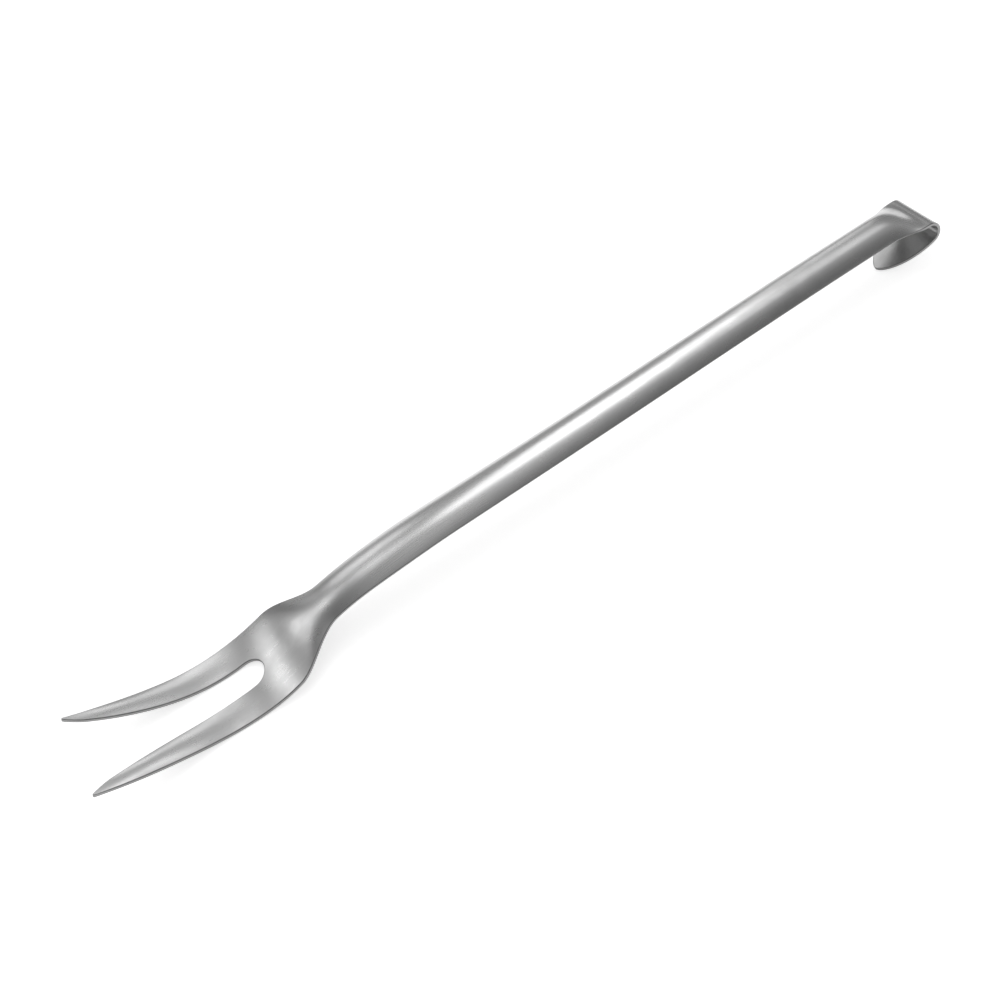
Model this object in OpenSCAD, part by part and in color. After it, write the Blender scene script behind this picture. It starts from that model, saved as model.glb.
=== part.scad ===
// Long serving fork, pressed from one strip of stainless sheet.
//
// The whole fork is one sheet of even thickness, so every zone is cut from the same rule.
// s is the distance along the middle of the strip, from the tine tips to the crease of the hook.
// v is the distance across the flat strip, from its middle.
// path(s) gives the side view, half_width(s) and slot_edge(s) the outline of the flat blank,
// and curl(s) how far the strip is curled down at its two edges.
// X runs along the fork towards the hook, Y across it and Z up. Lengths are in millimetres.

/* [Sheet] */
// Thickness of the sheet
sheet_t = 1.5; // [1:0.1:2]
// Length of the strip from the tine tips to the crease of the hook
strip_len = 430.5; // [400:0.5:480]
// Width of the flat strip that the handle is curled from
strip_w = 26; // [22:0.5:30]

/* [Tines] */
// Width over both tine tips
tip_span = 48.4; // [44:0.2:54]
// Width over the tines at their waist
waist_span = 45.4; // [42:0.2:50]
// Distance of the waist from the tips
waist_at = 50; // [40:1:60]
// Gap between the tines at the tips, before the tips are rounded
tip_gap = 43.6; // [36:0.2:44]
// Width of the slot at its round root
slot_w = 14.6; // [10:0.2:18]
// Distance of the root of the slot from the tips
root_at = 84; // [78:1:88]
// How quickly the slot narrows behind the tips
slot_power = 2.25; // [1.5:0.05:3]
// Length over which each tip is rounded off on its inner side
tip_round = 9; // [5:0.5:11]
// Width of the blunt end of each tip
tip_end_w = 1.2; // [0.8:0.1:2]
// Crown of each tine across its own width
tine_crown = 0.9; // [0:0.1:1.2]

/* [Head and neck] */
// Width over the shoulders
shoulder_span = 47.8; // [42:0.2:52]
// Distance of the shoulders from the tips
shoulder_at = 93.5; // [90:0.5:98]
// Width of the flat blank at the neck
neck_w = 23.8; // [18:0.2:26]
// Distance of the neck from the tips
neck_at = 122; // [116:1:130]
// Distance from the tips at which the strip has its full width
front_at = 165; // [150:1:180]

/* [Side view] */
// Rise of the path over the front of the tines, in degrees
tip_turn = 11; // [6:0.5:16]
// Rise of the path over the back of the tines, in degrees
bowl_turn = 16.5; // [12:0.5:20]
// Rise of the path over the head, in degrees
heel_turn = 17; // [12:0.5:20]
// Fall of the path over the neck, in degrees
neck_turn = 16.5; // [12:0.5:20]
// Fall of the path over the front of the handle, in degrees
front_turn = 5.5; // [3:0.5:8]
// Turn of the slight bow along the handle, in degrees
bow_turn = 0.9; // [0:0.1:2]

/* [Curl of the strip] */
// Curl of each edge at the tips, in degrees
tip_curl = 3; // [1:0.5:6]
// Curl of each edge at the root of the slot, in degrees
root_curl = 1.5; // [1:0.5:6]
// Curl of each edge at the neck, in degrees
neck_curl = 23; // [15:1:30]
// Curl of each edge at the front of the handle, in degrees
front_curl = 40; // [30:1:50]
// Curl of each edge at the middle of the handle, in degrees
mid_curl = 55; // [45:1:65]
// Curl of each edge where the handle begins to flatten, in degrees
end_curl = 65; // [55:1:80]
// Length over which the handle flattens towards the crease
flat_len = 25; // [20:1:40]

/* [Hanging hook] */
// Outer radius of the bend
bend_r = 5.3; // [4:0.1:9]
// Angle of the bend
bend_angle = 161.5; // [140:0.5:175]
// Length of the tongue behind the bend
tongue_len = 25; // [18:0.5:32]
// How late the sides of the tongue begin to close
tongue_side = 1.9; // [1.4:0.1:3]
// How blunt the end of the tongue is
tongue_blunt = 1.6; // [1.2:0.1:3]

/* [Hidden] */

steel = [0.68, 0.69, 0.70];
worn_steel = [0.62, 0.63, 0.64];
degree = PI / 180;

// Where one zone ends and the next begins, along s
head_end = neck_at - 14;
neck_end = front_at + 20;
mid_at = 300;
flat_at = strip_len - flat_len;

// Side view as tangent arcs, each [length, turn in degrees]
arcs = [[45, tip_turn], [30, bowl_turn], [25, heel_turn], [40, -neck_turn], [45, -front_turn],
        [mid_at - 185, bow_turn], [strip_len - mid_at, -bow_turn]];
first_angle = front_turn + neck_turn - heel_turn - bowl_turn - tip_turn;

// Curl of the edges as [s, degrees]
curls = [[0, tip_curl], [root_at, root_curl], [neck_at, neck_curl], [185, front_curl],
         [mid_at, mid_curl], [flat_at, end_curl]];

// Half width of the flat blank as [s, half width], level at each place
widths = [[0, tip_span / 2], [waist_at, waist_span / 2], [shoulder_at, shoulder_span / 2],
          [neck_at, neck_w / 2], [front_at, strip_w / 2]];

// Facets across a tine and across the strip, and along each zone
tine_cells = 8;
strip_cells = 24;
tip_steps = 7;
tine_steps = 20;
root_steps = 8;
head_steps = 13;
neck_steps = 26;
handle_steps = 20;
flat_steps = 18;
tongue_steps = 28;

function mix(a, b, t) = a + (b - a) * t;
function clamped(t) = min(max(t, 0), 1);
function ease(t) = let (c = clamped(t)) c * c * (3 - 2 * c);

// Value at s of the curve that eases between level places
function eased(places, s, i = 0) =
    i == len(places) - 1 ? places[i][1]
    : s <= places[i + 1][0]
        ? mix(places[i][1], places[i + 1][1],
              ease((s - places[i][0]) / (places[i + 1][0] - places[i][0])))
    : eased(places, s, i + 1);

// Value at s of the smooth curve through the places, with even slopes at the inner ones
function slope(places, i) =
    i == 0 || i == len(places) - 1 ? 0
    : (places[i + 1][1] - places[i - 1][1]) / (places[i + 1][0] - places[i - 1][0]);
function hermite(places, i, s) =
    let (span = places[i + 1][0] - places[i][0], t = (s - places[i][0]) / span)
    places[i][1] * (1 + 2 * t) * (1 - t) * (1 - t)
    + places[i + 1][1] * (3 - 2 * t) * t * t
    + slope(places, i) * span * t * (1 - t) * (1 - t)
    - slope(places, i + 1) * span * (1 - t) * t * t;
function smooth(places, s, i = 0) =
    s <= places[i + 1][0] || i == len(places) - 2 ? hermite(places, i, s) : smooth(places, s, i + 1);

// End of an arc that starts at [x, z, angle], from its chord
function arc_end(start, length, turn) =
    let (half = turn / 2, chord = half == 0 ? length : length * sin(half) / (half * degree))
    [start.x + chord * cos(start.z + half), start.y + chord * sin(start.z + half), start.z + turn];

// Side view at s, as [x, z, angle], from the tine tips
function path_from_tips(s, i = 0, start = [0, 0, first_angle]) =
    s <= arcs[i][0] || i == len(arcs) - 1
        ? arc_end(start, s, arcs[i][1] * s / arcs[i][0])
        : path_from_tips(s - arcs[i][0], i + 1, arc_end(start, arcs[i][0], arcs[i][1]));

// The same side view, moved so that the crease of the hook is at 0, 0
crease = path_from_tips(strip_len);
function path(s) = path_from_tips(s) - [crease.x, crease.y, 0];

function half_width(s) = eased(widths, s);

// Half width of the slot between the tines, with its round root
slot_r = slot_w / 2;
function slot_edge(s) =
    let (round_at = root_at - slot_r)
    s < round_at ? slot_r + (tip_gap / 2 - slot_r) * pow(1 - s / round_at, slot_power)
    : sqrt(max(slot_r * slot_r - pow(s - round_at, 2), 0));

// Inner edge of a tine, which the rounding of the tip carries over to the outer edge
function tine_inner(s) =
    let (full = half_width(s) - slot_edge(s), t = clamped(s / tip_round))
    half_width(s) - max(full * sqrt(1 - (1 - t) * (1 - t)), tip_end_w);

function curl(s) =
    s < flat_at ? smooth(curls, s)
    : max(end_curl * (1 - ease(pow((s - flat_at) / flat_len, 2))), 0.05);

// Point of the sheet at s and v, which lies depth below the outer face, raised by lift
function sheet_point(s, v, depth, lift = 0) =
    let (place = path(s), edge = curl(s), radius = half_width(s) / (edge * degree),
         turn = v / radius / degree,
         rise = (radius - depth) * cos(turn) - radius * cos(edge) + lift)
    [place.x - rise * sin(place.z), (radius - depth) * sin(turn), place.y + rise * cos(place.z)];

// Crown of a tine, nothing at the tip and the root, t from 0 at its inner edge to 1 at its outer
function tine_lift(s, t) = 4 * t * (1 - t) * tine_crown * ease(s / 30) * ease((root_at - s) / 40);

// One closed section of the sheet, over the outer face and back under the inner one
function tine_ring(s) =
    let (inner = tine_inner(s), outer = half_width(s))
    [for (face = [0, 1], j = [0:tine_cells])
        let (t = (face == 0 ? j : tine_cells - j) / tine_cells)
        sheet_point(s, mix(inner, outer, t), face * sheet_t, tine_lift(s, t))];
function strip_ring(s) =
    [for (face = [0, 1], j = [0:strip_cells])
        let (t = (face == 0 ? j : strip_cells - j) / strip_cells)
        sheet_point(s, mix(-1, 1, t) * half_width(s), face * sheet_t)];

// Closed solid through the rings, each with the same number of points
module loft(rings) {
    count = len(rings[0]);
    last = len(rings) - 1;
    half = count / 2;
    walls = [for (i = [0:last - 1], j = [0:count - 1])
        let (a = i * count + j, b = i * count + (j + 1) % count)
        each [[a, a + count, b], [b, a + count, b + count]]];
    ends = [for (j = [0:half - 2])
        each [[j, j + 1, count - 1 - j], [j + 1, count - 2 - j, count - 1 - j]]];
    back = [for (f = ends) [for (k = [2:-1:0]) f[k] + last * count]];
    polyhedron([for (ring = rings) each ring], concat(walls, ends, back), convexity = 6);
}

function steps(from, to, count) = [for (i = [0:count]) mix(from, to, i / count)];

// Places along a tine, close together at the rounded tip and round the root of the slot
tine_places = concat(
    [for (i = [0:tip_steps]) tip_round * (1 - cos(90 * i / tip_steps))],
    [for (s = steps(tip_round + 3, root_at - slot_r, tine_steps)) s],
    [for (i = [1:root_steps]) root_at - slot_r * (1 - sin(90 * i / root_steps))]);

// The fork lies on a table: both tines touch it where they are lowest, and so does the tongue
bend_end = [bend_r * sin(bend_angle), -bend_r * (1 - cos(bend_angle))];
tongue_tip = bend_end + tongue_len * [cos(bend_angle), -sin(bend_angle)];
underside = [for (s = [1:root_at]) sheet_point(s, half_width(s), sheet_t)];
rest_slope = max([for (p = underside) (tongue_tip.y - p.z) / (tongue_tip.x - p.x)]);
rest_tilt = atan(rest_slope);

function tilted(p) = [p.x * cos(rest_tilt) + p.z * sin(rest_tilt), -p.x * sin(rest_tilt) + p.z * cos(rest_tilt)];
floor_z = tilted([tongue_tip.x, 0, tongue_tip.y]).y;
front_x = min([for (p = tine_ring(0)) tilted(p).x]);
back_x = tilted([0, 0, -bend_r]).x + bend_r;

// Moves a zone from the crease's own frame to the middle of the fork on the table
module seated() {
    translate([-(front_x + back_x) / 2, 0, -floor_z])
        rotate([0, rest_tilt, 0])
            children();
}

module right_tine() {
    color(steel)
        seated()
            loft([for (s = tine_places) tine_ring(s)]);
}

module left_tine() {
    mirror([0, 1, 0])
        right_tine();
}

// Zone of the strip between two places
module strip_zone(from, to, count) {
    loft([for (s = steps(from, to, count)) strip_ring(s)]);
}

module head() {
    color(worn_steel)
        seated()
            strip_zone(root_at, head_end, head_steps);
}

module neck() {
    color(steel)
        seated()
            strip_zone(head_end, neck_end, neck_steps);
}

module handle() {
    color(worn_steel)
        seated()
            strip_zone(neck_end, flat_at, handle_steps);
}

module handle_end() {
    color(steel)
        seated()
            strip_zone(flat_at, strip_len, flat_steps);
}

// The strip rolled round the hook's centre line, which lies along Y below the crease
module hook_bend() {
    color(worn_steel)
        seated()
            translate([0, 0, -bend_r])
                rotate([90, bend_angle - 90, 0])
                    rotate_extrude(angle = bend_angle, $fn = 96)
                        translate([bend_r - sheet_t, -strip_w / 2])
                            square([sheet_t, strip_w]);
}

// Half width of the tongue at t, from 0 at the bend to 1 at its tip
function tongue_half(t) = strip_w / 2 * pow(1 - pow(t, tongue_side), 1 / tongue_blunt);

// Flat tongue, whose outline closes to a blunt round end
module hook_tongue() {
    places = [for (i = [0:tongue_steps]) sin(90 * i / tongue_steps)];
    side = [for (t = places) [t * tongue_len, tongue_half(t)]];
    far_side = [for (i = [tongue_steps - 1:-1:0]) [side[i].x, -side[i].y]];
    color(steel)
        seated()
            translate([bend_end.x, 0, bend_end.y])
                rotate([0, bend_angle, 0])
                    translate([0, 0, -sheet_t])
                        linear_extrude(sheet_t)
                            polygon(concat(side, far_side));
}

left_tine();
right_tine();
head();
neck();
handle();
handle_end();
hook_bend();
hook_tongue();
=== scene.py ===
"""Looks of a long serving fork: one sheet of stainless steel, pressed, curled and rolled into a hook.

The sheet is one closed surface. A point of it is found from three numbers: s, the distance along the
middle of the strip from the tine tips, v, the distance across the flat blank from its middle, and the
depth below the outer face. Lengths are in millimetres until a mesh is written, which is in metres.
"""

import logging
from dataclasses import dataclass, field
from enum import Enum

import bpy
import numpy as np
from mathutils import Matrix, Vector


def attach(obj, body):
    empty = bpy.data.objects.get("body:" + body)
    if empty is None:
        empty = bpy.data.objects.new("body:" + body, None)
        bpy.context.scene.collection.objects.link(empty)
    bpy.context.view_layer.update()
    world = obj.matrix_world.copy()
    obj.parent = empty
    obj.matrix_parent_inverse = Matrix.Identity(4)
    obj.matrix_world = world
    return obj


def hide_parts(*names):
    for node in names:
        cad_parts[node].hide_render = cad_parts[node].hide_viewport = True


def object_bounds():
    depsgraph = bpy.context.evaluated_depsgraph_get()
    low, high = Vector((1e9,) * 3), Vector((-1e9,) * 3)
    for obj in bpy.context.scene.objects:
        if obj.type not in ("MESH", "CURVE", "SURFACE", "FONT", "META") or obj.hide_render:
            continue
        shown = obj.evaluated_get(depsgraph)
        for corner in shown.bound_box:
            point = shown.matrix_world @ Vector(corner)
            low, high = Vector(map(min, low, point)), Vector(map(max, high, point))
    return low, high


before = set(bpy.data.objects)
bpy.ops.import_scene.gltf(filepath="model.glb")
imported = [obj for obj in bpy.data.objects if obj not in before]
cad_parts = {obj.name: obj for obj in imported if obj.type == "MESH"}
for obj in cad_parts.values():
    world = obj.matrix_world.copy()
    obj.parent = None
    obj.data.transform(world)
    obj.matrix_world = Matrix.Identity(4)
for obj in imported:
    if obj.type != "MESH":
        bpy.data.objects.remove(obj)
cad_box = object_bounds()

Array = np.ndarray
Colour = tuple[float, float, float]
MM = 0.001
log = logging.getLogger("serving_fork")


def ease(t: Array) -> Array:
    """Smooth step 3t^2 - 2t^3, level at 0 and 1.

    Args:
        t: Places, clipped to 0..1.

    Returns:
        The eased values.
    """
    t = np.clip(t, 0.0, 1.0)
    return t * t * (3.0 - 2.0 * t)


@dataclass(frozen=True)
class Places:
    """Values that a size takes at places along the strip.

    Attributes:
        at: Distances from the tips.
        value: The value at each of them.
    """

    at: tuple[float, ...]
    value: tuple[float, ...]

    def _span(self, s: Array) -> tuple[Array, Array, Array, Array]:
        """Finds the span that each s lies in.

        Args:
            s: Distances from the tips.

        Returns:
            The places, the values, the index of each span and the share t of it that lies behind s.
        """
        at, value = np.array(self.at), np.array(self.value)
        i = np.clip(np.searchsorted(at, s, side="right") - 1, 0, len(at) - 2)
        return at, value, i, np.clip((s - at[i]) / (at[i + 1] - at[i]), 0.0, 1.0)

    def level(self, s: Array) -> Array:
        """Curve that is level at each place: value_i + (value_i+1 - value_i) times ease(t)."""
        _, value, i, t = self._span(s)
        return value[i] + (value[i + 1] - value[i]) * ease(t)

    def smooth(self, s: Array) -> Array:
        """Cubic Hermite curve whose slope at an inner place is that of the chord between its neighbours."""
        at, value, i, t = self._span(s)
        slope = np.zeros_like(value)
        slope[1:-1] = (value[2:] - value[:-2]) / (at[2:] - at[:-2])
        span = at[i + 1] - at[i]
        return (
            value[i] * (1 + 2 * t) * (1 - t) ** 2
            + value[i + 1] * (3 - 2 * t) * t**2
            + slope[i] * span * t * (1 - t) ** 2
            - slope[i + 1] * span * (1 - t) * t**2
        )


@dataclass(frozen=True)
class SideView:
    """Middle line of the strip from the side, as tangent arcs.

    Attributes:
        arcs: Length and turn in degrees of each arc from the tips to the crease; a positive turn rises.
        hook: Length and turn of the bend and of the tongue behind it.
        soften: Length over which one pressed arc runs into the next.
        step: Distance between the points that the line is summed over.
    """

    arcs: tuple[tuple[float, float], ...]
    hook: tuple[tuple[float, float], ...]
    soften: float = 7.0
    step: float = 0.05

    @property
    def crease(self) -> float:
        """Distance from the tips to the crease of the hook."""
        return sum(length for length, _ in self.arcs)

    def _angles(self, s: Array) -> Array:
        """Angle of the line at s, which runs evenly along each arc and ends level at the crease.

        The pressed part's angle is the mean of itself over soften, taken at both sides of s, so that its
        bending has no sudden change. The hook's arcs are added as they are.
        """
        length, turn = np.array(self.arcs).T
        knots = np.r_[0.0, np.cumsum(length)]
        angle = np.radians(np.r_[0.0, np.cumsum(turn)] - turn.sum())
        offsets = np.linspace(-0.5, 0.5, 15) * self.soften
        pressed = np.mean([np.interp(s + offset, knots, angle) for offset in offsets], axis=0)
        hook_length, hook_turn = np.array(self.hook).T
        hook_knots = self.crease + np.r_[0.0, np.cumsum(hook_length)]
        rolled = np.interp(s, hook_knots, np.radians(np.r_[0.0, np.cumsum(hook_turn)]))
        return np.where(s > self.crease, angle[-1] + rolled, pressed)

    def __call__(self, s: Array) -> tuple[Array, Array, Array]:
        """Line at s, as the running sum of cos(angle) and sin(angle), with the crease at 0, 0.

        Args:
            s: Distances from the tips.

        Returns:
            The line's x, its z and its angle in radians.
        """
        end = self.crease + sum(length for length, _ in self.hook)
        fine = np.arange(-1.0, end + 2.0, self.step)
        middle = self._angles(fine[:-1] + self.step / 2)
        x = np.r_[0.0, np.cumsum(np.cos(middle))] * self.step
        z = np.r_[0.0, np.cumsum(np.sin(middle))] * self.step
        x -= np.interp(self.crease, fine, x)
        z -= np.interp(self.crease, fine, z)
        return np.interp(s, fine, x), np.interp(s, fine, z), self._angles(s)


@dataclass(frozen=True)
class Blank:
    """Outline of the flat blank, before it is pressed.

    Names in _at are distances from the tine tips, those in _span are widths over both tines or the head.

    Attributes:
        strip_w: Width of the strip that the handle and the hook are made of.
        tip_gap: Gap between the tines at the tips, before the tips are rounded.
        slot_w: Width of the slot at its root.
        slot_power: How quickly the slot narrows behind the tips.
        tip_round: Length over which each tip is rounded off on its inner side.
        tip_r: Radius of the blunt end of each tip.
        neck_w: Width at the neck.
        front_at: Place from which the strip has its full width.
        tongue_from: Distance from the tips at which the tongue begins.
        tongue_len: Length of the tongue.
        tongue_side: How late the sides of the tongue begin to close.
        tongue_blunt: How blunt its end is.
    """

    strip_w: float = 26.0
    tip_span: float = 48.4
    waist_span: float = 45.4
    waist_at: float = 50.0
    tip_gap: float = 43.6
    slot_w: float = 14.6
    root_at: float = 84.0
    slot_power: float = 2.25
    tip_round: float = 9.0
    tip_r: float = 0.6
    shoulder_span: float = 47.8
    shoulder_at: float = 93.5
    neck_w: float = 23.8
    neck_at: float = 122.0
    front_at: float = 165.0
    tongue_from: float = 445.4
    tongue_len: float = 25.0
    tongue_side: float = 1.9
    tongue_blunt: float = 1.6

    @property
    def end(self) -> float:
        """Distance from the tips to the end of the tongue."""
        return self.tongue_from + self.tongue_len

    def half_width(self, s: Array) -> Array:
        """Half width of the blank.

        It eases between level places up to the handle and is even from there. Along the tongue it is
        strip_w / 2 times (1 - t^tongue_side)^(1 / tongue_blunt), with t from 0 at the bend to 1 at the end.
        """
        places = Places(
            (0.0, self.waist_at, self.shoulder_at, self.neck_at, self.front_at),
            (
                self.tip_span / 2,
                self.waist_span / 2,
                self.shoulder_span / 2,
                self.neck_w / 2,
                self.strip_w / 2,
            ),
        )
        t = np.clip((s - self.tongue_from) / self.tongue_len, 0.0, 1.0)
        return places.level(s) * (1.0 - t**self.tongue_side) ** (1.0 / self.tongue_blunt)

    def slot_edge(self, s: Array) -> Array:
        """Half width of the slot before its round root: r + (gap - r) (1 - s / s_r)^slot_power."""
        r = self.slot_w / 2
        share = np.clip(1.0 - s / (self.root_at - r), 0.0, 1.0)
        return r + (self.tip_gap / 2 - r) * share**self.slot_power

    def inner(self, tip_rows: int, tine_rows: int, root_rows: int) -> tuple[Array, Array]:
        """Inner outline of the right tine, from the tip to the bottom of the slot.

        Over tip_round the tine's width follows a quarter ellipse up from tip_r, then the edge follows the
        slot, and the root is a quarter circle.

        Args:
            tip_rows: Steps over the rounded tip, closer together at its end.
            tine_rows: Steps along the straight part of the slot.
            root_rows: Steps round the root.

        Returns:
            The outline's s and v.
        """
        r = self.slot_w / 2
        swing = np.linspace(0.0, np.pi / 2, tip_rows + 1)
        tip_s = self.tip_round * (1.0 - np.cos(swing))
        full = self.half_width(tip_s) - self.slot_edge(tip_s)
        tip_v = self.half_width(tip_s) - self.tip_r - (full - self.tip_r) * np.sin(swing)
        tine_s = np.linspace(self.tip_round, self.root_at - r, tine_rows + 1)[1:]
        turn = np.linspace(0.0, np.pi / 2, root_rows + 1)[1:]
        s = np.r_[tip_s, tine_s, self.root_at - r + r * np.sin(turn)]
        return s, np.r_[tip_v, self.slot_edge(tine_s), r * np.cos(turn)]

    def outer(self, s: Array) -> Array:
        """Outer outline at s, rounded off at the tip by a quarter circle of radius tip_r."""
        short = np.clip(self.tip_r - s, 0.0, self.tip_r)
        return self.half_width(s) - self.tip_r + np.sqrt(self.tip_r**2 - short**2)


class Skin(Enum):
    """Material slots of the sheet: the polished face, the cut edge and the duller back; edge and back are
    darker partly as painted shade.
    """

    POLISHED = 0
    CUT = 1
    BACK = 2


@dataclass
class Patch:
    """Grid of points on the sheet, with what each point carries.

    Attributes:
        s, v, depth: Place of each point on the sheet.
        normal: Normal of the finished surface at each point.
        near_edge: 1 at the cut edge, falling to 0 on the faces.
        flip: Whether the faces turn the other way.
        skin: Its material slot.
        uv_shift: Shift across the strip that keeps the patches apart on the map.
    """

    s: Array
    v: Array
    depth: Array
    normal: Array
    near_edge: Array
    flip: bool
    skin: Skin
    uv_shift: float


class Face(Enum):
    """The two faces of the sheet, by how far below the outer one each lies."""

    OUTER = 0.0
    INNER = 1.0


@dataclass(frozen=True)
class Rows:
    """How many steps of the mesh lie along each stretch of the outline, and across a face."""

    tip: int = 26
    tine: int = 70
    root: int = 20
    head: int = 45
    neck: int = 65
    handle: int = 170
    flat: int = 40
    bend: int = 36
    tongue: int = 36
    across: int = 26
    edge_round: int = 4


@dataclass
class PressedSheet:
    """The whole fork as one sheet of even thickness.

    Attributes:
        sheet_t: Thickness of the sheet.
        strip_len: Length of the strip from the tine tips to the crease of the hook.
        pressed: Length and turn in degrees of the arcs of tine front and back, head, neck, handle front.
        handle_mid: Distance of the middle of the handle from the tips.
        bow: Turn of the slight bow along each half of the handle, in degrees.
        face_curls: Curl in degrees at the tips, slot's root, neck, handle's front and handle's middle.
        end_curl: Curl where the handle begins to flatten, in degrees.
        least_curl: Curl at the crease, so small that the sheet is flat there.
        flat_len: Length over which the handle flattens.
        bend_r: Outer radius of the hook's bend.
        bend_angle: Angle of the bend in degrees.
        edge_r: Radius to which the cut edges are rubbed down.
        tip_edge_r: The same at the ends of the tines.
        tip_edge_len: Length over which the one runs into the other.
        edge_wear_and_shade: Distance over which the rubbed wear and the painted shade of the edges fade on
            the faces.
        tine_crown: Crown of each tine across its own width.
        crown_rise: Length over which the crown rises behind the tip.
        crown_fade: Length over which it fades before the slot's root.
        least_tine: Least width that the crown is worked out for.
        head_to: Distance from the tips at which the mesh of the neck begins.
        shear: How far the rows of the mesh lean back round the slot's root.
        shear_from: Distance along the slot's edge at which they begin to lean.
        shear_fade: Length behind the root over which they stand up again.
        map_gap: Distance between the patches on the map.
        rows: Steps of the mesh.
    """

    sheet_t: float = 1.5
    strip_len: float = 430.5
    pressed: tuple[tuple[float, float], ...] = (
        (45.0, 11.0),
        (30.0, 16.5),
        (25.0, 17.0),
        (40.0, -16.5),
        (45.0, -5.5),
    )
    handle_mid: float = 300.0
    bow: float = 0.9
    face_curls: tuple[float, ...] = (3.0, 1.5, 23.0, 40.0, 55.0)
    end_curl: float = 65.0
    least_curl: float = 0.05
    flat_len: float = 25.0
    bend_r: float = 5.3
    bend_angle: float = 161.5
    edge_r: float = 0.4
    tip_edge_r: float = 0.22
    tip_edge_len: float = 8.0
    edge_wear_and_shade: float = 0.7
    tine_crown: float = 0.9
    crown_rise: float = 30.0
    crown_fade: float = 40.0
    least_tine: float = 1.0
    head_to: float = 120.0
    shear: float = 12.0
    shear_from: float = 30.0
    shear_fade: float = 80.0
    map_gap: float = 60.0
    rows: Rows = Rows()
    blank: Blank = field(init=False)
    side: SideView = field(init=False)
    curls: Places = field(init=False)

    def __post_init__(self) -> None:
        """Works out the outline, the side view and the curl from the sizes."""
        bend_len = self.bend_r * np.radians(self.bend_angle)
        self.blank = Blank(tongue_from=self.strip_len + bend_len)
        self.side = SideView(
            arcs=(
                *self.pressed,
                (self.handle_mid - self.handle_from, self.bow),
                (self.strip_len - self.handle_mid, -self.bow),
            ),
            hook=((bend_len, -self.bend_angle), (self.blank.tongue_len, 0.0)),
        )
        blank = self.blank
        self.curls = Places(
            (0.0, blank.root_at, blank.neck_at, self.handle_from, self.handle_mid, self.flat_at),
            (*self.face_curls, self.end_curl),
        )

    @property
    def handle_from(self) -> float:
        """Distance from the tips to the end of the handle's front."""
        return sum(length for length, _ in self.pressed)

    @property
    def flat_at(self) -> float:
        """Distance from the tips at which the handle begins to flatten."""
        return self.strip_len - self.flat_len

    def curl(self, s: Array) -> Array:
        """Angle in radians to which the edges are curled down.

        It runs smoothly to where the handle flattens, then falls as 1 - ease(t^2) to almost nothing.
        """
        t = np.clip((s - self.flat_at) / self.flat_len, 0.0, 1.0)
        closing = np.maximum(self.end_curl * (1.0 - ease(t**2)), self.least_curl)
        return np.radians(np.where(t > 0.0, closing, self.curls.smooth(s)))

    def lift(self, s: Array, v: Array) -> Array:
        """Crown of the tines, 4 t (1 - t) times tine_crown across each, which dies away at tip and root."""
        outer = self.blank.half_width(s)
        inner = np.minimum(self.blank.slot_edge(s), outer - self.least_tine)
        t = np.clip((np.abs(v) - inner) / (outer - inner), 0.0, 1.0)
        fade = ease(s / self.crown_rise) * ease((self.blank.root_at - s) / self.crown_fade)
        return 4.0 * t * (1.0 - t) * self.tine_crown * fade

    def unseated(self, s: Array, v: Array, depth: Array) -> Array:
        """Point of the sheet, with the crease of the hook at the origin.

        The section at s is an arc of radius R = half width / curl. The point lies (R - depth) from the
        arc's centre at the angle v / R, the edges stay on the side view's line, and the section stands
        square to that line.
        """
        x, z, angle = self.side(s)
        edge = self.curl(s)
        width = np.where(s > self.strip_len, self.blank.strip_w / 2, self.blank.half_width(s))
        radius = width / edge
        turn = v / radius
        rise = (radius - depth) * np.cos(turn) - radius * np.cos(edge) + self.lift(s, v)
        along = x - rise * np.sin(angle)
        return np.stack([along, (radius - depth) * np.sin(turn), z + rise * np.cos(angle)], axis=-1)

    def seat(self) -> Matrix:
        """Place of the crease's frame on the table, in metres.

        The fork touches the table under both tines and at the end of the tongue, its tips lie at the front
        of the imported parts' box, and it is centred across the frame.
        """
        s = np.arange(1.0, self.blank.root_at)
        under = self.unseated(s, self.blank.half_width(s), np.full_like(s, self.sheet_t))
        end = np.array([self.blank.end])
        last = self.unseated(end, np.zeros(1), np.zeros(1))[0]
        tilt = np.arctan(np.max((last[2] - under[:, 2]) / (last[0] - under[:, 0])))
        turn = Matrix.Rotation(tilt, 4, "Y")
        tip_v = np.full(2, self.blank.tip_span / 2)
        corners = self.unseated(np.zeros(2), tip_v, np.array([0.0, self.sheet_t]))
        tips = [turn @ Vector(corner) for corner in corners]
        floor = turn @ Vector(last)
        front = min(tip.x for tip in tips)
        return Matrix.Translation((cad_box[0].x - front * MM, 0.0, -floor.z * MM)) @ turn

    def points(self, s: Array, v: Array, depth: Array) -> Array:
        """Points of the sheet in metres, in the frame's own place."""
        seat = np.array(self.seat())
        flat = self.unseated(s, v, depth)
        return (flat @ seat[:3, :3].T) * MM + seat[:3, 3]

    def face_normal(self, s: Array, v: Array, depth: Array) -> Array:
        """Normal of the outer face: the slope along s crossed with the slope along v."""
        reach = 0.05
        along = self.points(s + reach, v, depth) - self.points(s - reach, v, depth)
        across = self.points(s, v + reach, depth) - self.points(s, v - reach, depth)
        return unit(np.cross(along, across))

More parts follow.
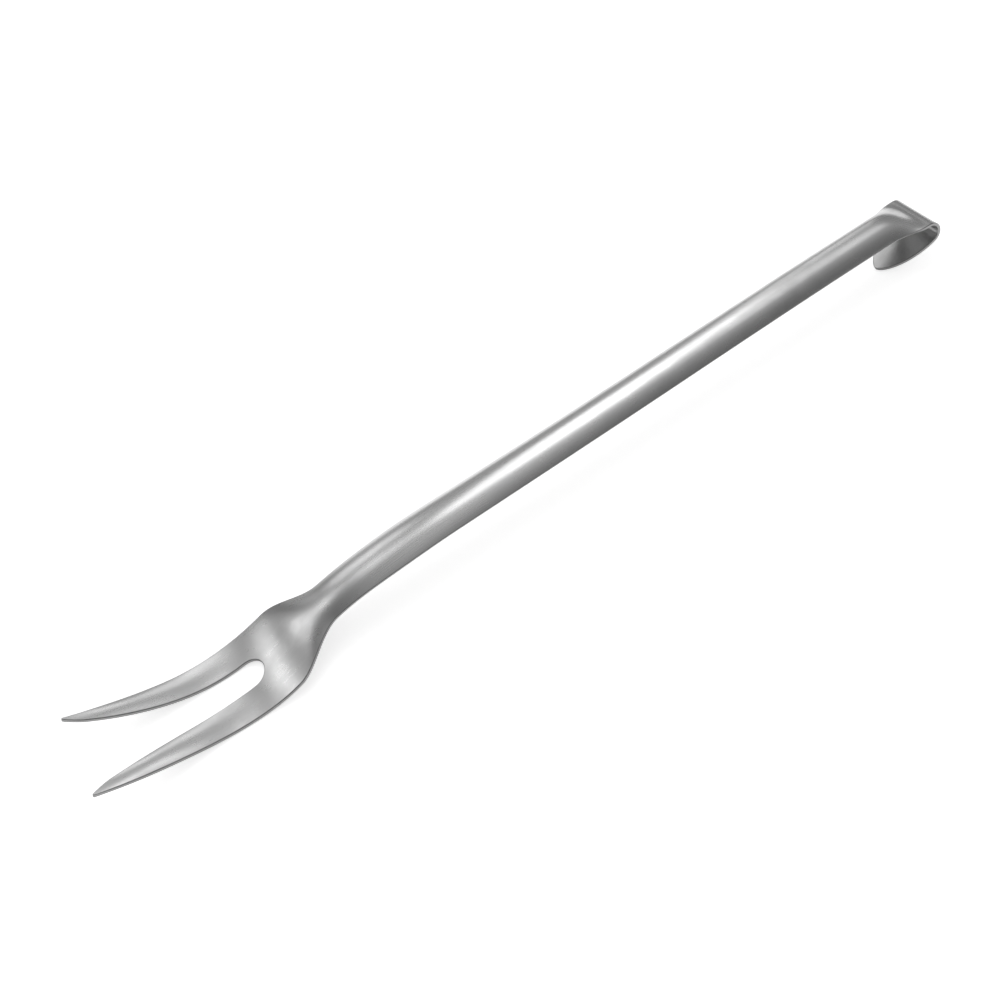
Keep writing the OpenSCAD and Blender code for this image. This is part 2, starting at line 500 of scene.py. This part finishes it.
    def outline(self) -> tuple[Array, Array, Array, int]:
        """Outline of the right half of the blank, from the bottom of the slot round the tip to the tongue.

        Returns:
            The outline as s and v, its outward normals in the blank, its edge radius at each point, and
            the index of the tine's tip.
        """
        blank, rows = self.blank, self.rows
        inner_s, inner_v = blank.inner(rows.tip, rows.tine, rows.root)
        shares = np.sin(np.linspace(0.0, np.pi / 2, rows.tongue + 1))[1:]
        strip_s = np.r_[
            np.linspace(blank.root_at, self.head_to, rows.head + 1)[1:],
            np.linspace(self.head_to, self.handle_from, rows.neck + 1)[1:],
            np.linspace(self.handle_from, self.flat_at, rows.handle + 1)[1:],
            np.linspace(self.flat_at, self.strip_len, rows.flat + 1)[1:],
            np.linspace(self.strip_len, blank.tongue_from, rows.bend + 1)[1:],
            blank.tongue_from + blank.tongue_len * shares,
        ]
        run = np.r_[0.0, np.cumsum(np.hypot(np.diff(inner_s), np.diff(inner_v)))]
        tine_shear = self.shear * ease((run - self.shear_from) / (run[-1] - self.shear_from))
        strip_shear = self.shear * (1.0 - ease((strip_s - blank.root_at) / self.shear_fade))
        outer_s = np.r_[inner_s + tine_shear, strip_s + strip_shear]
        line = np.stack(
            [np.r_[inner_s[::-1], outer_s[1:]], np.r_[inner_v[::-1], self.blank.outer(outer_s[1:])]], axis=1
        )
        piece = unit(np.diff(line, axis=0))
        tangent = unit(np.r_[[[0.0, 1.0]], piece[1:] + piece[:-1], [[0.0, -1.0]]])
        outward = np.stack([-tangent[:, 1], tangent[:, 0]], axis=1)
        grown = ease(line[:, 0] / self.tip_edge_len)
        radius = self.tip_edge_r + (self.edge_r - self.tip_edge_r) * grown
        return line, outward, radius, len(inner_s) - 1

    def face(self, side: Face) -> Patch:
        """One face of the right half, between its edges' roundings.

        A row runs straight from the slot's edge, or from the middle of the strip behind it, to the outer
        edge. Rows lean back round the slot's root, and close to a point at the tip and at the tongue.

        Args:
            side: Outer or inner face.

        Returns:
            The face's patch.
        """
        line, outward, radius, tip = self.outline()
        inset = line - outward * radius[:, None]
        right = inset[tip:]
        left = right.copy()
        left[: tip + 1] = inset[tip::-1]
        behind = right[tip:, 0]
        lean = (behind[0] - left[tip, 0]) * (1.0 - ease((behind - behind[0]) / self.shear_fade))
        left[tip:, 0] = behind - lean
        left[tip:, 1] = 0.0
        share = np.linspace(0.0, 1.0, self.rows.across + 1)[None, :]
        s = left[:, :1] * (1.0 - share) + right[:, :1] * share
        v = left[:, 1:] * (1.0 - share) + right[:, 1:] * share
        depth = np.full_like(s, side.value * self.sheet_t)
        reach = np.hypot(*(right - left).T)[:, None]
        slot_side = np.where(np.arange(len(s))[:, None] <= tip, share * reach, np.inf)
        near = np.exp(-np.minimum(slot_side, (1.0 - share) * reach) / self.edge_wear_and_shade)
        turned = 1.0 - 2.0 * side.value
        normal = self.face_normal(s, v, depth) * turned
        skin = Skin.BACK if side is Face.INNER else Skin.POLISHED
        return Patch(s, v, depth, normal, near, side is Face.INNER, skin, self.map_gap * side.value)

    def edge(self) -> Patch:
        """The cut edge all round the right half: a quarter round, the wall, and a quarter round."""
        line, outward, radius, _ = self.outline()
        swing = np.linspace(0.0, np.pi / 2, self.rows.edge_round + 1)
        cosine = np.r_[np.cos(swing), -np.cos(swing[::-1])][None, :]
        sine = np.r_[np.sin(swing), np.sin(swing[::-1])][None, :]
        out = radius[:, None] * (sine - 1.0)
        s = line[:, :1] + outward[:, :1] * out
        v = line[:, 1:] + outward[:, 1:] * out
        low = cosine < 0.0
        drop = radius[:, None] * (1.0 - np.abs(cosine))
        depth = np.where(low, self.sheet_t - drop, drop)
        up = self.face_normal(line[:, 0], line[:, 1], np.zeros(len(line)))
        reach = 0.05
        ahead = np.stack([outward[:, 1], -outward[:, 0]], axis=1) * reach
        zero = np.zeros(len(line))
        forward = self.points(line[:, 0] + ahead[:, 0], line[:, 1] + ahead[:, 1], zero)
        back = self.points(line[:, 0] - ahead[:, 0], line[:, 1] - ahead[:, 1], zero)
        aside = unit(np.cross(up, forward - back))
        normal = unit(cosine[..., None] * up[:, None, :] + sine[..., None] * aside[:, None, :])
        return Patch(s, v, depth, normal, np.ones_like(s), False, Skin.CUT, 2.0 * self.map_gap)

    def build(self) -> bpy.types.Object:
        """Builds the closed sheet from its right half and the half's mirror image.

        Returns:
            The fork's object.
        """
        points, normals, near, quads, slots, maps = [], [], [], [], [], []
        start = 0
        for patch in (self.face(Face.OUTER), self.face(Face.INNER), self.edge()):
            rows, columns = patch.s.shape
            grid = np.arange(rows * columns).reshape(rows, columns)
            cells = grid_cells(grid)
            place = self.points(patch.s, patch.v, patch.depth).reshape(-1, 3)
            for mirror in (1.0, -1.0):
                turned = patch.flip != (mirror < 0.0)
                flat = np.array([1.0, mirror, 1.0])
                points.append(place * flat)
                normals.append(patch.normal.reshape(-1, 3) * flat)
                near.append(patch.near_edge.ravel())
                round_edge = patch.depth if patch.skin is Skin.CUT else 0.0
                across = patch.v * mirror + patch.uv_shift + round_edge
                maps.append(np.stack([patch.s.ravel(), across.ravel()], axis=1) * MM)
                quads.append(start + (cells[:, ::-1] if turned else cells))
                slots.append(np.full(len(cells), patch.skin.value))
                start += rows * columns
        return mesh_object(
            "pressed_sheet",
            np.concatenate(points),
            np.concatenate(normals),
            np.concatenate(quads),
            np.concatenate(slots),
            np.concatenate(maps),
            np.concatenate(near),
        )


def grid_cells(grid: Array) -> Array:
    """Quads between neighbouring rows and columns of a grid of point numbers."""
    corners = [grid[:-1, :-1], grid[1:, :-1], grid[1:, 1:], grid[:-1, 1:]]
    return np.stack(corners, axis=-1).reshape(-1, 4)


def unit(vectors: Array) -> Array:
    """Vectors of length 1 along the last axis."""
    return vectors / np.maximum(np.linalg.norm(vectors, axis=-1, keepdims=True), 1e-12)


def mesh_object(
    name: str, points: Array, normals: Array, quads: Array, slots: Array, uv: Array, near: Array
) -> bpy.types.Object:
    """Makes a mesh object from grids whose borders meet.

    Points that round to the same place are one vertex, and a quad that loses a corner to it is a triangle.

    Args:
        name: Name of the object.
        points: Points in metres.
        normals: Normal at each point.
        quads: Corners of each face, as indices of points.
        slots: Material slot of each face.
        uv: Place of each point on the map.
        near: Value of the near_edge attribute at each point.

    Returns:
        The new object, linked to the scene.
    """
    weld = 1e-8
    rounded = np.round(points / weld).astype(np.int64)
    _, first, welded = np.unique(rounded, axis=0, return_index=True, return_inverse=True)
    corners = welded.reshape(-1)[quads]
    same = corners == np.roll(corners, -1, axis=1)
    whole = ~same.any(axis=1)
    others = np.array([[0, 2, 3], [0, 1, 3], [0, 1, 2], [1, 2, 3]])
    kept = others[same[~whole].argmax(axis=1)]
    triangles = np.take_along_axis(corners[~whole], kept, axis=1)
    kept_sources = np.take_along_axis(quads[~whole], kept, axis=1)
    sources = np.concatenate([quads[whole].ravel(), kept_sources.ravel()])
    mesh = bpy.data.meshes.new(name)
    mesh.from_pydata(points[first], [], corners[whole].tolist() + triangles.tolist())
    kept_slots = np.concatenate([slots[whole], slots[~whole]]).astype(np.int32)
    mesh.polygons.foreach_set("material_index", kept_slots)
    mesh.polygons.foreach_set("use_smooth", np.ones(len(quads), dtype=bool))
    mesh.uv_layers.new(name="strip").uv.foreach_set("vector", uv[sources].astype(np.float32).ravel())
    attribute = mesh.attributes.new("near_edge", "FLOAT", "POINT")
    attribute.data.foreach_set("value", near[first].astype(np.float32))
    mesh.normals_split_custom_set_from_vertices(normals[first])
    piece = bpy.data.objects.new(name, mesh)
    bpy.context.scene.collection.objects.link(piece)
    return piece


@dataclass
class Graph:
    """A node tree that is filled node by node.

    Attributes:
        tree: The tree.
    """

    tree: bpy.types.NodeTree

    def add(self, kind: str, inputs: dict | None = None, **settings: object) -> bpy.types.Node:
        """Adds a node.

        Args:
            kind: Blender's name for the node.
            inputs: Value or output for each input, by name or index.
            settings: The node's own properties.

        Returns:
            The node.
        """
        made = self.tree.nodes.new(kind)
        for name, value in settings.items():
            setattr(made, name, value)
        for name, value in (inputs or {}).items():
            if isinstance(value, bpy.types.NodeSocket):
                self.tree.links.new(value, made.inputs[name])
            else:
                made.inputs[name].default_value = value
        return made

    def maths(self, operation: str, *values: object) -> bpy.types.NodeSocket:
        """Output of a Math node over one, two or three values."""
        return self.add("ShaderNodeMath", dict(enumerate(values)), operation=operation).outputs[0]

    def ranged(
        self, value: object, low: float, high: float, to_low: float, to_high: float
    ) -> bpy.types.NodeSocket:
        """Output of a Map Range node, which clamps.

        Args:
            value: Value or output that is mapped.
            low: Lowest value taken in.
            high: Highest value taken in.
            to_low: What low becomes.
            to_high: What high becomes.

        Returns:
            The mapped value.
        """
        inputs = {"Value": value, "From Min": low, "From Max": high, "To Min": to_low, "To Max": to_high}
        return self.add("ShaderNodeMapRange", inputs).outputs["Result"]

    def blend(self, share: object, first: object, second: object) -> bpy.types.NodeSocket:
        """Output of a Mix node over two colours."""
        return self.add("ShaderNodeMix", {0: share, 6: first, 7: second}, data_type="RGBA").outputs[2]


def effect(name: str, takes: dict[str, str], gives: tuple[str, ...]) -> tuple[Graph, dict, bpy.types.Node]:
    """Starts a shader node group.

    Args:
        name: Name of the group.
        takes: Kind of socket of each input, by name.
        gives: Names of the outputs, which are values.

    Returns:
        The group's graph, its inputs' sockets by name, and its output node.
    """
    tree = bpy.data.node_groups.new(name, "ShaderNodeTree")
    for socket, kind in takes.items():
        tree.interface.new_socket(socket, in_out="INPUT", socket_type=kind)
    for socket in gives:
        tree.interface.new_socket(socket, in_out="OUTPUT", socket_type="NodeSocketFloat")
    graph = Graph(tree)
    entry = graph.add("NodeGroupInput")
    return graph, {socket: entry.outputs[socket] for socket in takes}, graph.add("NodeGroupOutput")


def polish_lines() -> bpy.types.NodeTree:
    """Fine lines left by the polishing wheel, which run along the strip.

    Noise is drawn out along the first axis of the map, once for the lines and once for finer ones, and the
    two are added.

    Returns:
        The group, with a mask of the lines around 0.5.
    """
    takes = {"Map": "NodeSocketVector", "Lines": "NodeSocketFloat", "Stretch": "NodeSocketFloat"}
    graph, given, output = effect("polish_lines", takes, ("Lines",))
    along = graph.maths("DIVIDE", given["Lines"], given["Stretch"])
    sizes = graph.add("ShaderNodeCombineXYZ", {"X": along, "Y": given["Lines"], "Z": 1.0})
    drawn = graph.add("ShaderNodeVectorMath", {0: given["Map"], 1: sizes.outputs[0]}, operation="MULTIPLY")
    coarse = graph.add(
        "ShaderNodeTexNoise", {"Vector": drawn.outputs[0], "Scale": 1.0, "Detail": 3.0, "Roughness": 0.6}
    )
    fine = graph.add(
        "ShaderNodeTexNoise", {"Vector": drawn.outputs[0], "Scale": 3.7, "Detail": 2.0, "Roughness": 0.7}
    )
    fine_share = 0.35
    coarse_part = graph.maths("MULTIPLY", coarse.outputs["Fac"], 1.0 - fine_share)
    total = graph.maths("ADD", coarse_part, graph.maths("MULTIPLY", fine.outputs["Fac"], fine_share))
    graph.tree.links.new(total, output.inputs["Lines"])
    return graph.tree


def handling() -> bpy.types.NodeTree:
    """Soft patches that hands, washing and years in a drawer leave on steel.

    Two sizes of noise over the object are multiplied, so that the patches are few and uneven.

    Returns:
        The group, with a mask that is mostly low.
    """
    takes = {"Place": "NodeSocketVector", "Per metre": "NodeSocketFloat"}
    graph, given, output = effect("handling", takes, ("Mask",))
    wide = graph.add(
        "ShaderNodeTexNoise", {"Vector": given["Place"], "Scale": given["Per metre"], "Detail": 2.0}
    )
    closer = graph.maths("MULTIPLY", given["Per metre"], 6.0)
    small = graph.add("ShaderNodeTexNoise", {"Vector": given["Place"], "Scale": closer, "Detail": 4.0})
    both = graph.maths(
        "MULTIPLY",
        graph.ranged(wide.outputs["Fac"], 0.35, 0.7, 0.0, 1.0),
        graph.ranged(small.outputs["Fac"], 0.3, 0.75, 0.0, 1.0),
    )
    graph.tree.links.new(both, output.inputs["Mask"])
    return graph.tree


@dataclass(frozen=True)
class Finish:
    """Stainless steel as it comes from the polishing wheel, with years of use on it.

    Attributes:
        name: Name of the material.
        bright: Colour of the metal.
        dull: Colour where it is rubbed and handled, and the darker colour along the edges, which is partly
            painted shade.
        smooth: Roughness of the clean metal.
        rough: Roughness where it is rubbed and handled.
        lines_per_metre: How close the polishing lines lie.
        line_stretch: How many times longer than wide they are.
        line_depth: Depth of the polishing lines in metres.
        patches_per_metre: How close the handled patches lie.
        waves_per_metre: How close the slight waves lie that the press leaves.
        wave_depth: Depth of these waves in metres.
    """

    name: str
    bright: Colour
    dull: Colour
    smooth: float
    rough: float
    lines_per_metre: float = 1500.0
    line_stretch: float = 60.0
    line_depth: float = 0.000002
    patches_per_metre: float = 22.0
    waves_per_metre: float = 38.0
    wave_depth: float = 0.00004

    def material(self, lines: bpy.types.NodeTree, wear: bpy.types.NodeTree) -> bpy.types.Material:
        """Builds the material.

        Args:
            lines: The polish_lines group.
            wear: The handling group.

        Returns:
            The material.
        """
        made = bpy.data.materials.new(self.name)
        made.use_nodes = True
        graph = Graph(made.node_tree)
        shader = made.node_tree.nodes["Principled BSDF"]
        strip = graph.add("ShaderNodeUVMap", uv_map="strip").outputs["UV"]
        place = graph.add("ShaderNodeTexCoord").outputs["Object"]
        grain = graph.add("ShaderNodeGroup", node_tree=lines)
        graph.tree.links.new(strip, grain.inputs["Map"])
        grain.inputs["Lines"].default_value = self.lines_per_metre
        grain.inputs["Stretch"].default_value = self.line_stretch
        rubbed = graph.add("ShaderNodeGroup", node_tree=wear)
        graph.tree.links.new(place, rubbed.inputs["Place"])
        rubbed.inputs["Per metre"].default_value = self.patches_per_metre
        near = graph.add("ShaderNodeAttribute", attribute_name="near_edge").outputs["Fac"]
        # Darker and rougher in the handled patches and along the edges; along the edges this is partly
        # rubbed wear and partly painted shade.
        worn_and_edge_shade = graph.maths("MAXIMUM", rubbed.outputs["Mask"], graph.maths("MULTIPLY", near, 0.5))
        streaks = graph.ranged(grain.outputs["Lines"], 0.35, 0.65, -0.1, 0.1)
        share = graph.maths("ADD", graph.maths("MULTIPLY", worn_and_edge_shade, 0.8), streaks)
        colour = graph.blend(share, (*self.bright, 1.0), (*self.dull, 1.0))
        graph.tree.links.new(colour, shader.inputs["Base Color"])
        rough = graph.ranged(share, 0.0, 1.0, self.smooth, self.rough)
        graph.tree.links.new(rough, shader.inputs["Roughness"])
        shader.inputs["Metallic"].default_value = 1.0
        waves = graph.add(
            "ShaderNodeTexNoise", {"Vector": place, "Scale": self.waves_per_metre, "Detail": 1.0}
        )
        swell = graph.add(
            "ShaderNodeBump", {"Height": waves.outputs["Fac"], "Distance": self.wave_depth, "Strength": 1.0}
        )
        cut = graph.add(
            "ShaderNodeBump",
            {
                "Height": grain.outputs["Lines"],
                "Distance": self.line_depth,
                "Strength": 1.0,
                "Normal": swell.outputs["Normal"],
            },
        )
        graph.tree.links.new(cut.outputs["Normal"], shader.inputs["Normal"])
        return made


class Background(Enum):
    """Strengths of the surroundings: the white that is seen of floor and world, and the world's light."""

    FLOOR = 0.65
    WORLD = 1.0
    WORLD_LIGHT = 0.5


def direction(azimuth: float, elevation: float) -> Vector:
    """Direction (cos e sin a, cos e cos a, sin e) of an azimuth a and an elevation e in radians."""
    level = np.cos(elevation)
    return Vector((np.sin(azimuth) * level, np.cos(azimuth) * level, np.sin(elevation)))


def staged(name: str, points: list, faces: list) -> bpy.types.Object:
    """Makes a mesh object that is part of the studio.

    Args:
        name: Name of the object.
        points: Its points in metres.
        faces: Its faces, as indices of points.

    Returns:
        The new object, linked to the scene.
    """
    mesh = bpy.data.meshes.new(name)
    mesh.from_pydata(points, [], faces)
    made = bpy.data.objects.new(name, mesh)
    bpy.context.scene.collection.objects.link(made)
    return made


def bare_material(name: str) -> tuple[bpy.types.Material, Graph]:
    """Makes a material without nodes, with the graph that fills it."""
    material = bpy.data.materials.new(name)
    material.use_nodes = True
    material.node_tree.nodes.clear()
    return material, Graph(material.node_tree)


@dataclass(frozen=True)
class Softbox:
    """A square soft lamp that hangs at a given direction from the fork and faces it.

    Attributes:
        name: Name of the lamp.
        azimuth: Direction in degrees, 0 behind the fork and 90 at its hook.
        elevation: Height above the table in degrees.
        distance: Distance in metres.
        width: Width in metres.
        height: Height in metres.
        radiance: Brightness of its face, where 1 is white.
    """

    name: str
    azimuth: float
    elevation: float
    distance: float
    width: float
    height: float
    radiance: float

    def hang(self) -> bpy.types.Object:
        """Hangs the lamp."""
        azimuth, elevation = np.radians((self.azimuth, self.elevation))
        out = direction(azimuth, elevation)
        data = bpy.data.lights.new(self.name, "AREA")
        data.shape = "RECTANGLE"
        data.size, data.size_y = self.width, self.height
        data.energy = self.radiance * np.pi * self.width * self.height
        made = bpy.data.objects.new(self.name, data)
        turn = (-out).to_track_quat("-Z", "Y").to_matrix().to_4x4()
        made.matrix_world = Matrix.Translation(out * self.distance) @ turn
        made.visible_camera = False
        bpy.context.scene.collection.objects.link(made)
        return made


@dataclass(frozen=True)
class PhotoCamera:
    """Camera of the photograph: to the front left, about 44 degrees up, turned on its axis.

    Attributes:
        place: Its place in metres.
        azimuth: Direction in which it looks, in degrees from +Y towards +X.
        dip: How far it looks down, in degrees.
        roll: Its turn about its own axis in degrees.
        lens: Focal length in millimetres.
        sensor: Width of its sensor in millimetres.
    """

    place: tuple[float, float, float] = (-0.10515, -0.46254, 0.45769)
    azimuth: float = 11.322
    dip: float = 43.646
    roll: float = -25.197
    lens: float = 54.894
    sensor: float = 36.0

    def stand(self) -> bpy.types.Object:
        """Sets the camera up."""
        azimuth, dip, roll = np.radians((self.azimuth, self.dip, self.roll))
        data = bpy.data.cameras.new("camera")
        data.lens = self.lens
        data.sensor_width = self.sensor
        made = bpy.data.objects.new("camera", data)
        ahead = direction(azimuth, -dip).to_track_quat("-Z", "Y").to_matrix()
        turn = ahead @ Matrix.Rotation(roll, 3, "Z")
        made.matrix_world = Matrix.Translation(self.place) @ turn.to_4x4()
        bpy.context.scene.collection.objects.link(made)
        bpy.context.scene.camera = made
        return made


@dataclass
class Studio:
    """Pale floor, white surroundings, soft lamps and the camera of the photograph.

    Attributes:
        reach: Half the side of the floor in metres.
        floor_z: Height of the floor, a hair below the fork.
        floor_grey: Colour of the floor.
        contact: Distance within which the fork shades what the steel mirrors of the floor.
        tent_r: Radius of the tent round the table in metres.
        tent_steps: Steps of the tent's mesh round it and up it.
        tones: Grey of the tent by place, from 0 towards the camera to 1 behind the fork.
        left_side: Places from and to, as shares of tent_r, and the tone's factor from and to, at the left.
        right_side: The same at the right.
        lamps: The soft lamps.
        camera: The camera.
    """

    reach: float = 3.0
    floor_z: float = -0.0001
    floor_grey: float = 0.8
    contact: float = 0.05
    tent_r: float = 2.4
    tent_steps: tuple[int, int] = (64, 16)
    tones: tuple[tuple[float, float], ...] = (
        (0.0, 0.14),
        (0.165, 0.24),
        (0.275, 0.32),
        (0.37, 0.45),
        (0.5, 0.58),
        (0.7, 0.5),
        (1.0, 0.38),
    )
    left_side: tuple[float, float, float, float] = (-0.3, -0.1, 0.3, 1.0)
    right_side: tuple[float, float, float, float] = (0.4, 0.65, 1.0, 0.65)
    lamps: tuple[Softbox, ...] = (
        Softbox("key_lamp", 31.0, 57.0, 0.42, 0.22, 0.25, 1.65),
        Softbox("neck_lamp", -19.0, 58.0, 1.3, 0.20, 0.45, 1.2),
        Softbox("head_lamp", -39.0, 36.0, 1.3, 0.26, 0.62, 1.8),
        Softbox("tine_lamp", -15.6, 30.0, 0.6, 0.19, 0.19, 1.1),
        Softbox("end_lamp", 31.0, 28.0, 1.3, 0.25, 0.6, 0.65),
        Softbox("top_lamp", 60.0, 62.0, 1.3, 0.7, 0.6, 0.6),
    )

    camera: PhotoCamera = PhotoCamera()

    def seen(self, graph: Graph, strength: float) -> bpy.types.NodeSocket:
        """Strength for rays from the camera, from glossy metal and through glass, and 0 for the rest."""
        path = graph.add("ShaderNodeLightPath").outputs
        either = graph.maths("ADD", path["Is Camera Ray"], path["Is Glossy Ray"])
        every = graph.maths("ADD", either, path["Is Transmission Ray"])
        return graph.maths("MULTIPLY", graph.maths("MINIMUM", every, 1.0), strength)

    def floor(self) -> bpy.types.Object:
        """Builds the floor, which glows white where it is seen and keeps the fork's shadow.

        The steel mirrors less of that glow close to the fork, and from below the floor is clear.
        """
        r, z = self.reach, self.floor_z
        made = staged("floor", [(-r, -r, z), (r, -r, z), (r, r, z), (-r, r, z)], [(0, 1, 2, 3)])
        material, graph = bare_material("pale_floor")
        matt = graph.add("ShaderNodeBsdfDiffuse", {"Color": (*(self.floor_grey,) * 3, 1.0)})
        open_sky = graph.add("ShaderNodeAmbientOcclusion", {"Distance": self.contact}).outputs["AO"]
        mirrored = graph.add("ShaderNodeLightPath").outputs["Is Glossy Ray"]
        shaded = graph.maths("MULTIPLY_ADD", mirrored, graph.maths("SUBTRACT", open_sky, 1.0), 1.0)
        strength = graph.maths("MULTIPLY", self.seen(graph, Background.FLOOR.value), shaded)
        glow = graph.add("ShaderNodeEmission", {"Strength": strength})
        both = graph.add("ShaderNodeAddShader", {0: matt.outputs[0], 1: glow.outputs[0]})
        below = graph.add("ShaderNodeNewGeometry").outputs["Backfacing"]
        clear = graph.add("ShaderNodeBsdfTransparent")
        sided = graph.add("ShaderNodeMixShader", {0: below, 1: both.outputs[0], 2: clear.outputs[0]})
        graph.add("ShaderNodeOutputMaterial", {"Surface": sided.outputs[0]})
        made.data.materials.append(material)
        return made

    def tent(self) -> bpy.types.Object:
        """Builds the tent that the steel mirrors, a half dome that is dark towards the camera.

        Its points are r (cos e sin a, cos e cos a, sin e) over the azimuth a and the elevation e. Only
        reflections see it.
        """
        round_it, up_it = self.tent_steps
        foot, top = -0.02, np.pi / 2 - 0.001
        a, e = np.meshgrid(
            np.linspace(0.0, 2 * np.pi, round_it + 1), np.linspace(foot, top, up_it + 1), indexing="ij"
        )
        level = np.cos(e)
        points = self.tent_r * np.stack([level * np.sin(a), level * np.cos(a), np.sin(e)], axis=-1)
        cells = grid_cells(np.arange(a.size).reshape(a.shape))
        made = staged("tent", points.reshape(-1, 3), cells.tolist())
        made.visible_camera = made.visible_diffuse = made.visible_shadow = False
        made.data.materials.append(self.tent_cloth())
        return made

    def tent_cloth(self) -> bpy.types.Material:
        """Material of the tent: its tones from front to back, less at the left and the right."""
        material, graph = bare_material("tent_cloth")
        place = graph.add("ShaderNodeTexCoord").outputs["Object"]
        parts = graph.add("ShaderNodeSeparateXYZ", {"Vector": place}).outputs
        back = graph.ranged(parts["Y"], -self.tent_r, self.tent_r, 0.0, 1.0)
        factors = []
        for start, end, first, last in (self.left_side, self.right_side):
            factors.append(graph.ranged(parts["X"], start * self.tent_r, end * self.tent_r, first, last))
        ramp = graph.add("ShaderNodeValToRGB", {"Fac": back})
        stops = ramp.color_ramp.elements
        while len(stops) < len(self.tones):
            stops.new(0.5)
        for stop, (at, grey) in zip(stops, self.tones):
            stop.position = at
            stop.color = (grey, grey, grey, 1.0)
        sides = graph.maths("MULTIPLY", *factors)
        glow = graph.add("ShaderNodeEmission", {"Color": ramp.outputs["Color"], "Strength": sides})
        graph.add("ShaderNodeOutputMaterial", {"Surface": glow.outputs[0]})
        return material

    def world(self) -> None:
        """Builds the world: grey light all round, and white where it is seen."""
        world = bpy.data.worlds.new("studio")
        world.use_nodes = True
        bpy.context.scene.world = world
        graph = Graph(world.node_tree)
        back = world.node_tree.nodes["Background"]
        seen = self.seen(graph, 1.0)
        light, white = Background.WORLD_LIGHT.value, Background.WORLD.value
        strength = graph.ranged(seen, 0.0, 1.0, light, white)
        graph.tree.links.new(strength, back.inputs["Strength"])
        back.inputs["Color"].default_value = (1.0, 1.0, 1.0, 1.0)

    def build(self) -> None:
        """Builds the whole studio."""
        self.floor()
        self.tent()
        self.world()
        for lamp in self.lamps:
            lamp.hang()
        self.camera.stand()


def main() -> None:
    """Builds the fork and the studio, and reports each piece."""
    logging.basicConfig(level=logging.INFO, format="%(message)s")
    sheet = PressedSheet()
    fork = sheet.build()
    lines, wear = polish_lines(), handling()
    satin = Finish("satin_steel", (0.62, 0.62, 0.62), (0.50, 0.50, 0.50), 0.27, 0.36)
    # The cut edge is rougher than the polished face, and its darker colour is also painted shade along the
    # edge walls.
    cut = Finish("cut_edge_painted_shade", (0.36, 0.36, 0.36), (0.28, 0.28, 0.28), 0.34, 0.44)
    # The back is less polished than the face, and its darker colour is also painted shade inside the hook,
    # where the tongue faces the handle.
    back = Finish("dull_back_painted_shade", (0.42, 0.42, 0.42), (0.34, 0.34, 0.34), 0.34, 0.44)
    for finish in (satin, cut, back):
        fork.data.materials.append(finish.material(lines, wear))
    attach(fork, "root")
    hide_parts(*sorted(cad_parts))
    log.info("%s: %d vertices, %d faces", fork.name, len(fork.data.vertices), len(fork.data.polygons))
    Studio().build()
    bpy.context.scene.view_settings.view_transform = "Standard"


if __name__ == "__main__":
    main()
